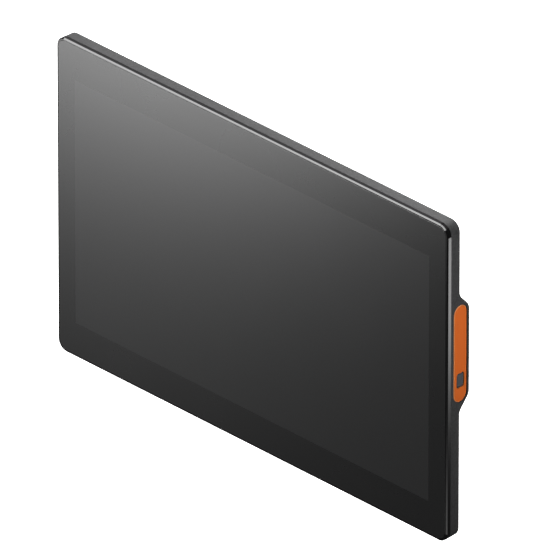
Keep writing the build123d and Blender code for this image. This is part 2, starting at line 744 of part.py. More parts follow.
def make_switch_bracket():
    """Folded steel bracket: an upright behind the switch board and a foot on the chassis plate."""
    back = SWITCH_BACK - SWITCH_BOARD_T
    upright = side_solid(KEY * Pos(-0.6, 0) * Rectangle(10.6, 2 * BRACKET_HALF_H), back - BRACKET_T, back)
    low = BUTTON_Z - BRACKET_HALF_H
    high = BUTTON_Z + BRACKET_HALF_H
    foot = block(BRACKET_FOOT_X, (CHASSIS_BACK, CHASSIS_BACK + BRACKET_T), (low, high))
    bracket = upright + foot
    bracket -= block((150, 200), (0, CHASSIS_BACK), (low - 1, high + 1))
    for x, z in BRACKET_SCREWS:
        bracket -= peg(x, z, 1.15, CHASSIS_BACK, CHASSIS_BACK + BRACKET_T)
    return bracket


def make_bracket_screws():
    """Screws of the bracket's foot."""
    head_front = CHASSIS_BACK + BRACKET_T
    return group(screw(x, z, head_front, 1.0, CHASSIS_FRONT + 0.1, radius=1.0) for x, z in BRACKET_SCREWS)


def make_switch_cable():
    """Flat cable from the switch board's lower end to the main board."""
    thick = 0.3
    run = CHASSIS_BACK + 0.5
    end_x = WALL_X + SWITCH_BACK - SWITCH_BOARD_T - 0.02
    return union([
        block((end_x - thick, end_x), (run, PLATE_DEPTH), SWITCH_CABLE_Z),
        block((84, end_x), (run, run + thick), SWITCH_CABLE_Z),
        block((84, 84 + thick), (run, HEADER_FRONT), SWITCH_CABLE_Z),
    ])


# ---- rear shell -------------------------------------------------------------------------------------------
def raised_profile(half, inset, base):
    """Section of a raised form: flat top, sloping flanks with rounded shoulders and feet."""
    slope = math.atan2(DEPTH - SLAB, FLANK_RUN)
    top_half = half - inset * math.tan(slope / 2)
    foot = top_half + FLANK_RUN
    top = y_at(DEPTH - inset)
    slab = y_at(SLAB - inset)
    out = foot + FLANK_R + LEDGE_RUN
    outline = FilletPolyline(
        (-out, slab), (-foot, slab), (-top_half, top), (top_half, top), (foot, slab), (out, slab),
        radius=[FLANK_R + inset, FLANK_R - inset, FLANK_R - inset, FLANK_R + inset],
    )
    closing = Polyline((out, slab), (out, base), (-out, base), (-out, slab))
    return make_face([*outline.edges(), *closing.edges()])


def flank_profile(radius, inset, base):
    """One half of such a section, from the centre of a corner outwards."""
    half = raised_profile(radius, inset, base)
    reach = 4 * (radius + FLANK_RUN + FLANK_R)
    return half - Pos(-reach / 2, 0) * Rectangle(reach, reach)


def band_form(inset, base):
    """The band across the whole width. The mounting face stands a hair proud of it."""
    plane = Plane(origin=(-PANEL_W, -BAND_DROP, BAND_Z), x_dir=(0, 0, 1), z_dir=(-1, 0, 0))
    return extrude(plane * raised_profile(BAND_HALF, inset, base), amount=-2 * PANEL_W)


def housing_form(inset, base):
    """The central housing: a block that grows out of the band, with flanks on three sides."""
    straight_x = PAD_HALF_W - PAD_CORNER_R
    low = PAD_LOW + PAD_CORNER_R
    high = BAND_Z - BAND_HALF + PAD_OVERLAP
    half = flank_profile(PAD_CORNER_R, inset, base)
    base_depth = base + DEPTH
    form = block((-straight_x, straight_x), (base_depth, DEPTH - inset), (low, high))
    below = Plane(origin=(-straight_x, 0, low), x_dir=(0, 0, -1), z_dir=(1, 0, 0))
    form += extrude(below * half, amount=2 * straight_x)
    beside = Plane(origin=(straight_x, 0, low), x_dir=(1, 0, 0), z_dir=(0, 0, 1))
    flank = extrude(beside * half, amount=high - low)
    corner = Pos(straight_x, 0, low) * revolve(half, axis=Axis.Y, revolution_arc=90)
    for piece in (flank, corner):
        form += piece
        form += mirror(piece, about=Plane.YZ)
    return form


def drafted_prism(inset):
    """The panel's outline, leaning in towards the back."""
    plane = Plane(origin=(0, y_at(RIM), 0), x_dir=(-1, 0, 0), z_dir=(0, 1, 0))
    return extrude(plane * inset_rectangle(inset), amount=DEPTH - RIM, taper=DRAFT)


def rear_form(inset):
    """The rear shell's outside, or its inside when drawn in by the wall."""
    slab = plate(rectangle((-PANEL_W, PANEL_W), (-PANEL_H, PANEL_H)), RIM, SLAB - inset)
    raised = slab + band_form(inset, y_at(RIM)) + housing_form(inset, y_at(CHASSIS_BACK))
    return drafted_prism(inset) & raised


def wall_distance(point):
    """How far a point stands from the drafted side wall."""
    lean = math.tan(LEAN) * (point.Y - y_at(RIM))
    radius = CORNER_R - lean
    out_x = abs(point.X) - (PANEL_W / 2 - lean - radius)
    out_z = abs(point.Z) - (PANEL_H / 2 - lean - radius)
    outside = math.hypot(max(out_x, 0), max(out_z, 0))
    return outside + min(max(out_x, out_z), 0) - radius


def is_rear_edge(edge):
    """True for the edges where the side wall meets the back."""
    lowest = min((edge @ t).Y for t in (0, 0.5, 1))
    return lowest > y_at(RIM + 1) and all(abs(wall_distance(edge @ t)) < 0.02 for t in (0, 0.5, 1))


def bay_block(growth):
    """The connector bay, open to below and to the back."""
    return block((-BAY_HALF_W - growth, BAY_HALF_W + growth), (SLAB - growth, DEPTH + 5),
                 (PAD_LOW - 40, BAY_TOP + growth))


def cut_ports(shell):
    """Openings for the connectors in the bay's upper wall."""
    gap = PORT_GAP
    ports = [(x, USB_A_SIZE, BOARD_BACK) for x in USB_A_X] + [(JACK_X, JACK_SIZE, JACK_FRONT)]
    for x, size, front in ports:
        shell -= block((x - size[0] / 2 - gap, x + size[0] / 2 + gap), (front - gap, front + size[1] + gap),
                       (BAY_TOP - 1, BAY_TOP + WALL + 0.5))
    middle = USB_C_FRONT + USB_C_SIZE[1] / 2
    return shell - rounded_bar(USB_C_X, middle, USB_C_SIZE[0] + 2 * gap, USB_C_SIZE[1] + 2 * gap,
                               BAY_TOP - 1, BAY_TOP + WALL + 0.5)


def cut_vents(shell):
    """Upright slots on both sides of the mounting holes."""
    for side in (-1, 1):
        for i in range(VENT_COUNT):
            x = side * (VENT_FIRST_X + i * VENT_PITCH)
            shell -= block((x - VENT_HALF_W, x + VENT_HALF_W), (INNER_REAR - 1, DEPTH + 1), VENT_Z)
    return shell


def make_rear_cover():
    """Rear shell: thin sides, the raised band with the connector bay, and its screw posts."""
    outside = rear_form(0)
    outside = fillet(outside.edges().filter_by(is_rear_edge), REAR_EDGE_R)
    outside -= bay_block(0)
    inside = rear_form(WALL) - bay_block(WALL)
    shell = outside - inside
    shell -= plate(inset_rectangle(-2), RIM - 1, RIM + SEAM)
    post_r = 3.3
    for x, z in COVER_SCREWS:
        shell += peg(x, z, post_r, CHASSIS_BACK, INNER_SLAB + 0.5)
    for x, z in COVER_SCREWS:
        shell -= peg(x, z, SCREW_R + 0.2, CHASSIS_BACK, INNER_SLAB)
        shell -= peg(x, z, SCREW_R * 1.7 + 0.3, INNER_SLAB - 0.2, SLAB)
    for x, z in mount_places():
        shell -= peg(x, z, 4.7, INNER_REAR - 1, DEPTH)
    for x in (-SPEAKER_X, SPEAKER_X):
        shell -= plate(Pos(x, BAND_Z) * RectangleRounded(GRILLE_W + 0.4, GRILLE_H + 0.4, 3.2),
                       DEPTH - GRILLE_T - GRILLE_SINK, DEPTH)
        shell -= plate(Pos(x, BAND_Z) * RectangleRounded(GRILLE_W - 3, GRILLE_H - 3, 2), INNER_REAR - 1, DEPTH)
    shell -= plate(Rectangle(LABEL_W + 0.6, LABEL_H + 0.6), DEPTH - LABEL_SINK, DEPTH)
    shell -= side_solid(stadium(PLATE_GAP), -PLATE_T - TAPE_T, 1)
    shell -= side_solid(key_outline(BUTTON_GAP - 0.1), -WALL - 1, 0)
    return cut_vents(cut_ports(shell))


def make_cover_screws():
    """Screws that hold the rear shell, sunk in from the back."""
    return group(screw(x, z, INNER_SLAB - 0.2, 1.8, LEDGE + 1.2) for x, z in COVER_SCREWS)


def make_rating_label():
    """Blank plate for the rating label, in its shallow recess."""
    return plate(RectangleRounded(LABEL_W, LABEL_H, 2), DEPTH - LABEL_SINK, DEPTH - 0.05)


# ---- write every node -------------------------------------------------------------------------------------
NODES = {
    "front_frame": make_front_frame,
    "cover_glass": make_cover_glass,
    "glass_tape": make_glass_tape,
    "touch_sensor": make_touch_sensor,
    "optical_adhesive": make_optical_adhesive,
    "touch_flex": make_touch_flex,
    "lcd_cell": make_lcd_cell,
    "optical_films": make_optical_films,
    "light_guide": make_light_guide,
    "reflector_sheet": make_reflector_sheet,
    "led_strip": make_led_strip,
    "lcd_mould_frame": make_lcd_mould_frame,
    "lcd_back_pan": make_lcd_back_pan,
    "lcd_driver_board": make_lcd_driver_board,
    "lcd_bond_films": make_lcd_bond_films,
    "display_cable": make_display_cable,
    "lcd_tapes": make_lcd_tapes,
    "chassis_plate": make_chassis_plate,
    "chassis_screws": make_chassis_screws,
    "mount_standoffs": make_mount_standoffs,
    "board_standoffs": make_board_standoffs,
    "main_board": make_main_board,
    "board_screws": make_board_screws,
    "board_headers": make_board_headers,
    "processor": make_processor,
    "memory_chips": make_memory_chips,
    "power_parts": make_power_parts,
    "thermal_pad": make_thermal_pad,
    "heat_sink": make_heat_sink,
    "heat_sink_screws": make_heat_sink_screws,
    "radio_module": make_radio_module,
    "antennas": make_antennas,
    "antenna_leads": make_antenna_leads,
    "clock_cell_holder": make_clock_cell_holder,
    "clock_cell": make_clock_cell,
    "power_inlet": make_power_inlet,
    "usb_a_ports": make_usb_a_ports,
    "usb_c_port": make_usb_c_port,
    "speaker_boxes": make_speaker_boxes,
    "speaker_drivers": make_speaker_drivers,
    "speaker_gaskets": make_speaker_gaskets,
    "speaker_leads": make_speaker_leads,
    "speaker_grilles": make_speaker_grilles,
    "side_plate": make_side_plate,
    "side_plate_tape": make_side_plate_tape,
    "power_button": make_power_button,
    "switch_plunger": make_switch_plunger,
    "switch_body": make_switch_body,
    "switch_board": make_switch_board,
    "switch_bracket": make_switch_bracket,
    "bracket_screws": make_bracket_screws,
    "switch_cable": make_switch_cable,
    "rear_cover": make_rear_cover,
    "cover_screws": make_cover_screws,
    "rating_label": make_rating_label,
}

os.makedirs("parts", exist_ok=True)
for name, make in NODES.items():
    export_step(make(), f"parts/{name}.step")
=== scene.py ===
import json
import math

import bmesh
import bpy
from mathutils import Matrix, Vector


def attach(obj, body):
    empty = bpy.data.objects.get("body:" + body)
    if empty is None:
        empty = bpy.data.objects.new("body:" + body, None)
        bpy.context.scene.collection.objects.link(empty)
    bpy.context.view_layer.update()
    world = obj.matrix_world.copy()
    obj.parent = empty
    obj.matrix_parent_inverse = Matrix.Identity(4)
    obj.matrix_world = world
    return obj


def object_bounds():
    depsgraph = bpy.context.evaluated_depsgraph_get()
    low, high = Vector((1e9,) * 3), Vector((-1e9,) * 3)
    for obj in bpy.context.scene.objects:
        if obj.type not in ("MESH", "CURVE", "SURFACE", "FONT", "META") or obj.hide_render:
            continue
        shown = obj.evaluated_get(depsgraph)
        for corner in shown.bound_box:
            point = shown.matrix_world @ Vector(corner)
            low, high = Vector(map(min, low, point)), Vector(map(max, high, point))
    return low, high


# A wide, flat touch-panel terminal in a plain white studio. Metres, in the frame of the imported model: +X is
# to the right seen from the front, +Y out of the back, +Z up, origin in the middle of the rear mounting holes.

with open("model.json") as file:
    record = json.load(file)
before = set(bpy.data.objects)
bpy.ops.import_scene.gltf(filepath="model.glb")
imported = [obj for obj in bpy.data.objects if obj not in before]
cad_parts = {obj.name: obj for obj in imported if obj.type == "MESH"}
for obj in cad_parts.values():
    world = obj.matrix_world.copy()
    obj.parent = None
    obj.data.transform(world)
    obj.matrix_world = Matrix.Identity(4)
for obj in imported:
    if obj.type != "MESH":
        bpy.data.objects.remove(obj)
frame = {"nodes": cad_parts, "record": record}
CAD_LOW, CAD_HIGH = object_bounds()
CENTRE = (CAD_LOW + CAD_HIGH) / 2
MM = 0.001

# ---- view ---------------------------------------------------------------------------------------------------
AZIMUTH = 45.0  # camera to the right of the front, degrees
ELEVATION = 30.0
SENSOR = 36.0
LENS = 1640.0
CAMERA_DISTANCE = 17.229
AIM_RIGHT = 22.68 * MM  # where the image centre lies, from the centre of the panel
AIM_UP = 19.92 * MM
AIM_DEPTH = 0.87 * MM

# ---- places on the object -----------------------------------------------------------------------------------
ACTIVE_HALF_W = 172.08 * MM  # lit area of the display
ACTIVE_HALF_H = 96.8 * MM
ACTIVE_Z = -0.7 * MM
ACTIVE_EDGE = 0.35 * MM  # width of the soft step at its border
REAR = CAD_HIGH.y  # the rear mounting face
DRAFT = math.radians(2.0)
SIDE_NORMAL = (math.cos(DRAFT), math.sin(DRAFT), 0.0)
BAND_Z = 21.0 * MM  # middle of the raised band
GRILLE_X = 140.0 * MM
CLOTH_HALF = (21.0 * MM, 12.0 * MM)
CLOTH_BEHIND = 1.35 * MM  # below the rear face
CLOTH_T = 0.12 * MM
CLOTH_SLACK = 0.12 * MM
YARN_PITCH = 0.35 * MM
VENT_X = (52.5 * MM, 91.1 * MM)
VENT_Z = (-19.5 * MM, 27.5 * MM)
VENT_BEHIND = 2.2 * MM
VENT_CELL = 1.25 * MM
VENT_WIRE = 0.28 * MM
MOUNT_HALF = 37.5 * MM
MOUNT_R = 2.0 * MM
SCREW_PITCH = 0.7 * MM
SCREW_DEPTH = 8.6 * MM
SCREW_START = 0.35 * MM  # below the rear face
SCREW_RUN_OUT = 0.8 * MM
SCREW_STEPS = 28  # points in a turn
SCREW_FLANK = 0.42  # half the foot of the ridge, in pitches
RIDGE = 0.22 * MM
LABEL_HALF = (26.6 * MM, 15.6 * MM)
LABEL_ROWS = [z * MM for z in (-9.0, -2.5, 4.0, 10.0)]
LINE = 0.3 * MM  # width of a printed line
USB_X = (2.0 * MM, 20.0 * MM)
USB_FACE_Y = -22.5 * MM + 17.15 * MM
USB_Z = (-49.0 * MM, -41.5 * MM)
CONTACTS = (-3.5 * MM, -1.0 * MM, 1.0 * MM, 3.5 * MM)  # across a socket
CONTACT_HALF = 0.5 * MM
CONTACT_T = 0.05 * MM

# ---- light --------------------------------------------------------------------------------------------------
ROOM_LEVEL = 0.06
FLOOR_DROP = 0.9  # below the object
FLOOR_HALF = 60.0

# Where each face of the object mirrors the camera's view to.
FROM_GLASS = (-0.612, -0.612, -0.5)
FROM_TOP_CHAMFER = (-0.612, -0.5, 0.612)
FROM_RIGHT_WALL = (0.612, 0.612, -0.5)
FROM_RIGHT_CHAMFER = (0.612, -0.612, -0.5)
FROM_TOP_WALL = (-0.612, 0.612, 0.5)
FROM_BOTTOM_CHAMFER = (-0.612, 0.5, -0.612)

# How light panels dim across their face, as softbox() says.
GLASS_FADE = (-2.726, -3.013, 15.19, -26.95, 25.33, 16.71)
SIDE_FADE = (-3.67, 0.0, 52.0, 0.0, 0.0, 0.0)
LOW_FADE = (-0.36, 0.0, -60.0, 0.0, 0.0, 0.0)


# ---- camera, floor and lights -------------------------------------------------------------------------------
def look_from(azimuth, elevation):
    """Unit vector from the object towards a viewer."""
    a, e = math.radians(azimuth), math.radians(elevation)
    return Vector((math.sin(a) * math.cos(e), -math.cos(a) * math.cos(e), math.sin(e)))


def make_camera():
    data = bpy.data.cameras.new("camera")
    data.type = "PERSP"
    data.sensor_width = SENSOR
    data.lens = LENS
    data.clip_start = 1.0
    data.clip_end = 200.0
    camera = bpy.data.objects.new("camera", data)
    bpy.context.scene.collection.objects.link(camera)
    aim = Vector((AIM_RIGHT, CAD_LOW.y + AIM_DEPTH, AIM_UP))
    away = look_from(AZIMUTH, ELEVATION)
    camera.location = aim + away * CAMERA_DISTANCE
    camera.rotation_mode = "QUATERNION"
    camera.rotation_quaternion = (-away).to_track_quat("-Z", "Y")
    bpy.context.scene.camera = camera


def add(tree, kind, inputs=None, **settings):
    """A new node with its settings, its values and its links."""
    node = tree.nodes.new("ShaderNode" + kind)
    for key, value in settings.items():
        setattr(node, key, value)
    for key, value in (inputs or {}).items():
        if isinstance(value, bpy.types.NodeSocket):
            tree.links.new(value, node.inputs[key])
        else:
            node.inputs[key].default_value = value
    return node


def math_node(tree, operation, *values, clamp=False):
    node = add(tree, "Math", dict(enumerate(values)), operation=operation, use_clamp=clamp)
    return node.outputs[0]


def make_world():
    """White behind everything, and a dim room for reflections and soft fill."""
    world = bpy.data.worlds.new("studio")
    bpy.context.scene.world = world
    world.use_nodes = True
    tree = world.node_tree
    tree.nodes.clear()
    white = add(tree, "Background", {"Color": (1.0, 1.0, 1.0, 1.0), "Strength": 1.0})
    room = add(tree, "Background", {"Color": (1.0, 1.0, 1.0, 1.0), "Strength": ROOM_LEVEL})
    seen = add(tree, "LightPath").outputs["Is Camera Ray"]
    mixed = add(tree, "MixShader", {0: seen, 1: room.outputs[0], 2: white.outputs[0]})
    add(tree, "OutputWorld", {"Surface": mixed.outputs[0]})


def make_floor():
    """A wide pale floor under the object."""
    mesh = bpy.data.meshes.new("floor")
    shape = bmesh.new()
    bmesh.ops.create_grid(shape, x_segments=4, y_segments=4, size=FLOOR_HALF)
    shape.to_mesh(mesh)
    shape.free()
    floor = bpy.data.objects.new("floor", mesh)
    bpy.context.scene.collection.objects.link(floor)
    floor.location = (0, 0, CAD_LOW.z - FLOOR_DROP)
    floor.visible_glossy = False
    floor.visible_diffuse = False
    material = bpy.data.materials.new("floor_white")
    material.use_nodes = True
    tree = material.node_tree
    tree.nodes.clear()
    place = add(tree, "TexCoord").outputs["Object"]
    tone = add(tree, "TexNoise", {"Vector": place, "Scale": 3.0, "Detail": 3.0})
    level = add(tree, "MapRange", {"Value": tone.outputs[0], "To Min": 0.9, "To Max": 0.94})
    shader = add(tree, "BsdfPrincipled", {
        "Base Color": level.outputs[0], "Roughness": 0.9, "Specular IOR Level": 0.0,
        "Emission Color": (1.0, 1.0, 1.0, 1.0), "Emission Strength": 1.0,
    })
    add(tree, "OutputMaterial", {"Surface": shader.outputs[0]})
    mesh.materials.append(material)


def softbox(name, toward, distance, size, radiance, fade=None, diffuse=True, gloss=True):
    """An area light that faces the object's centre. Its fade is a polynomial in metres from its own centre,
    with the terms 1, x, y, xx, xy and yy, and a soft step turns that into its level from 0 to 1. Lights that
    share a direction stand at different distances, because one at the same place hides the other."""
    data = bpy.data.lights.new(name, "AREA")
    data.shape = "RECTANGLE"
    data.size, data.size_y = size
    data.energy = radiance * size[0] * size[1] * 4
    light = bpy.data.objects.new(name, data)
    bpy.context.scene.collection.objects.link(light)
    direction = Vector(toward).normalized()
    light.location = CENTRE + direction * distance
    light.rotation_mode = "QUATERNION"
    light.rotation_quaternion = (-direction).to_track_quat("-Z", "Y")
    light.visible_camera = False
    light.visible_diffuse = diffuse
    light.visible_glossy = gloss
    if fade:
        data.use_nodes = True
        tree = data.node_tree
        tree.nodes.clear()
        spot = add(tree, "SeparateXYZ", {0: add(tree, "NewGeometry").outputs["Parametric"]})
        x = math_node(tree, "MULTIPLY_ADD", spot.outputs["X"], size[0], -size[0] / 2)
        y = math_node(tree, "MULTIPLY_ADD", spot.outputs["Y"], size[1], -size[1] / 2)
        terms = [x, y] + [math_node(tree, "MULTIPLY", p, q) for p, q in ((x, x), (x, y), (y, y))]
        total = fade[0]
        for term, share in zip(terms, fade[1:]):
            total = math_node(tree, "MULTIPLY_ADD", term, share, total)
        falling = math_node(tree, "EXPONENT", math_node(tree, "MULTIPLY", total, -1.0))
        level = math_node(tree, "DIVIDE", 1.0, math_node(tree, "ADD", falling, 1.0))
        glow = add(tree, "Emission", {"Strength": level})
        add(tree, "OutputLight", {"Surface": glow.outputs[0]})


def make_lights():
    softbox("glass_light", FROM_GLASS, 1.4, (0.5, 0.5), 6.45, fade=GLASS_FADE, diffuse=False)
    softbox("key_light", FROM_TOP_CHAMFER, 2.0, (0.9, 0.9), 10.0, gloss=False)
    softbox("chamfer_light", FROM_TOP_CHAMFER, 1.95, (0.9, 0.9), 8.7, diffuse=False)
    softbox("front_strip", (-0.01, -0.74, 0.65), 1.9, (2.0, 0.7), 7.5, diffuse=False)
    softbox("top_light", (-0.19, -0.05, 1.0), 1.6, (1.0, 0.7), 7.9)
    softbox("side_light", FROM_RIGHT_WALL, 1.2, (0.36, 0.36), 3.7, fade=SIDE_FADE, diffuse=False)
    softbox("low_light", FROM_RIGHT_CHAMFER, 1.2, (0.4, 0.4), 1.3, fade=LOW_FADE, diffuse=False)
    softbox("rear_top_light", (0.15, 0.612, 0.75), 1.25, (1.0, 0.6), 0.3, diffuse=False)
    softbox("rear_left_light", FROM_TOP_WALL, 1.2, (0.7, 0.7), 0.35, diffuse=False)
    softbox("under_light", FROM_BOTTOM_CHAMFER, 1.2, (0.5, 0.5), 0.6, diffuse=False)
    softbox("right_fill", (0.969, 0.0, 0.247), 0.485, (0.2, 0.2), 4.1, gloss=False)
    softbox("back_light", (-0.3, 1.0, 0.25), 2.5, (1.4, 1.4), 12.0)


# ---- materials ----------------------------------------------------------------------------------------------
def new_tree(name):
    material = bpy.data.materials.new(name)
    material.use_nodes = True
    material.node_tree.nodes.clear()
    return material, material.node_tree


def textured(name, dark, light, roughness, grain, relief, metallic=0.0, specular=0.5, fine_share=0.45,
             overlay=None):
    """A material with two tones, uneven roughness and a fine relief. Grain and relief are in metres, and
    fine_share is how much of the tone follows the grain, not the broad clouds. An overlay takes the tree, the
    place and the tone, and gives the tone back with something printed on it or with a painted highlight on it."""
    material, tree = new_tree(name)
    place = add(tree, "TexCoord").outputs["Object"]
    broad = add(tree, "TexNoise", {"Vector": place, "Scale": 0.06 / grain, "Detail": 3.0})
    fine = add(tree, "TexNoise", {"Vector": place, "Scale": 1.0 / grain, "Detail": 2.0})
    both = math_node(tree, "MULTIPLY_ADD", fine.outputs[0], fine_share,
                     math_node(tree, "MULTIPLY", broad.outputs[0], 1 - fine_share))
    tone = mix(tree, both, dark, light)
    if overlay:
        tone = overlay(tree, place, tone)
    gloss = add(tree, "MapRange", {"Value": both, "From Min": 0.3, "From Max": 0.7,
                                   "To Min": roughness[0], "To Max": roughness[1]})
    bump = add(tree, "Bump", {"Height": fine.outputs[0], "Distance": relief, "Strength": 0.6})
    shader = add(tree, "BsdfPrincipled", {
        "Base Color": tone, "Roughness": gloss.outputs[0], "Normal": bump.outputs[0], "Metallic": metallic,
        "Specular IOR Level": specular,
    })
    add(tree, "OutputMaterial", {"Surface": shader.outputs[0]})
    return material


def mix(tree, share, first, second):
    """Two colours, fixed or linked, mixed by a share."""
    colours = {}
    for name, colour in (("Color1", first), ("Color2", second)):
        colours[name] = colour if isinstance(colour, bpy.types.NodeSocket) else (*colour, 1.0)
    return add(tree, "MixRGB", {"Fac": share, **colours}).outputs[0]


def step(tree, value, start, end):
    """0 before start and 1 after end."""
    return add(tree, "MapRange", {"Value": value, "From Min": start, "From Max": end}).outputs[0]


def painted_bevel_highlight(tree, place, tone):
    """Painted highlight: the bevels of the side plate, which face away from the wall's own direction, are
    painted a lighter orange as if they caught the light.
    """
    normal = add(tree, "TexCoord").outputs["Normal"]
    facing = add(tree, "VectorMath", {0: normal, 1: SIDE_NORMAL}, operation="DOT_PRODUCT").outputs["Value"]
    return mix(tree, step(tree, facing, 0.97, 0.85), tone, (0.9, 0.34, 0.12))


def printed_fields(tree, place, tone):
    """An empty printed form: a border and a few dividing lines, with nothing written in it."""
    split = add(tree, "SeparateXYZ", {0: place})
    across = math_node(tree, "ABSOLUTE", split.outputs["X"])
    up = split.outputs["Z"]
    half_w, half_h = LABEL_HALF
    inside = math_node(tree, "MULTIPLY", step(tree, across, half_w, half_w - LINE / 2),
                       step(tree, math_node(tree, "ABSOLUTE", up), half_h, half_h - LINE / 2))
    inner = math_node(tree, "MULTIPLY", step(tree, across, half_w - LINE, half_w - 1.5 * LINE),
                      step(tree, math_node(tree, "ABSOLUTE", up), half_h - LINE, half_h - 1.5 * LINE))
    lines = math_node(tree, "SUBTRACT", inside, inner)
    for height in LABEL_ROWS:
        offset = math_node(tree, "ABSOLUTE", math_node(tree, "SUBTRACT", up, height))
        row = math_node(tree, "MULTIPLY", step(tree, offset, LINE / 2, LINE / 4), inside)
        lines = math_node(tree, "MAXIMUM", lines, row)
    return mix(tree, lines, tone, (0.05, 0.05, 0.055))


def cloth_surface():
    """Black acoustic cloth: a plain weave."""
    material, tree = new_tree("acoustic_cloth")
    place = add(tree, "TexCoord").outputs["Object"]
    waves = [add(tree, "TexWave", {"Vector": place, "Scale": 0.5 / YARN_PITCH, "Distortion": 0.3},
                 wave_type="BANDS", bands_direction=direction).outputs[1] for direction in ("X", "Z")]
    weave = math_node(tree, "MULTIPLY", *waves)
    bump = add(tree, "Bump", {"Height": weave, "Distance": 40e-6, "Strength": 0.7})
    shader = add(tree, "BsdfPrincipled", {
        "Base Color": mix(tree, weave, (0.006, 0.006, 0.006), (0.022, 0.022, 0.023)),
        "Roughness": step(tree, weave, -2.5, 1.2), "Normal": bump.outputs[0], "Sheen Weight": 0.2,
    })
    add(tree, "OutputMaterial", {"Surface": shader.outputs[0]})
    return material


def glass_surface():
    """Dark cover glass: an inked border round the slightly lighter display, under a smooth coated face."""
    material, tree = new_tree("screen_glass")
    place = add(tree, "TexCoord").outputs["Object"]
    split = add(tree, "SeparateXYZ", {0: place})
    across = math_node(tree, "ABSOLUTE", split.outputs["X"])
    up = math_node(tree, "ABSOLUTE", math_node(tree, "SUBTRACT", split.outputs["Z"], ACTIVE_Z))
    inside = math_node(tree, "MULTIPLY", step(tree, across, ACTIVE_HALF_W + ACTIVE_EDGE, ACTIVE_HALF_W),
                       step(tree, up, ACTIVE_HALF_H + ACTIVE_EDGE, ACTIVE_HALF_H))
    smudge = add(tree, "TexNoise", {"Vector": place, "Scale": 14.0, "Detail": 4.0}).outputs[0]
    haze = add(tree, "TexNoise", {"Vector": place, "Scale": 900.0, "Detail": 2.0}).outputs[0]
    ink = mix(tree, smudge, (0.0212, 0.0212, 0.0214), (0.0232, 0.0232, 0.0234))
    panel = mix(tree, haze, (0.0375, 0.0377, 0.0382), (0.0415, 0.0417, 0.0422))
    gloss = add(tree, "MapRange", {"Value": smudge, "From Min": 0.3, "From Max": 0.7,
                                   "To Min": 0.1, "To Max": 0.13})
    bump = add(tree, "Bump", {"Height": haze, "Distance": 0.4e-6, "Strength": 0.2})
    shader = add(tree, "BsdfPrincipled", {
        "Base Color": mix(tree, inside, ink, panel), "Roughness": gloss.outputs[0],
        "Normal": bump.outputs[0], "IOR": 1.5,
    })
    add(tree, "OutputMaterial", {"Surface": shader.outputs[0]})
    return material


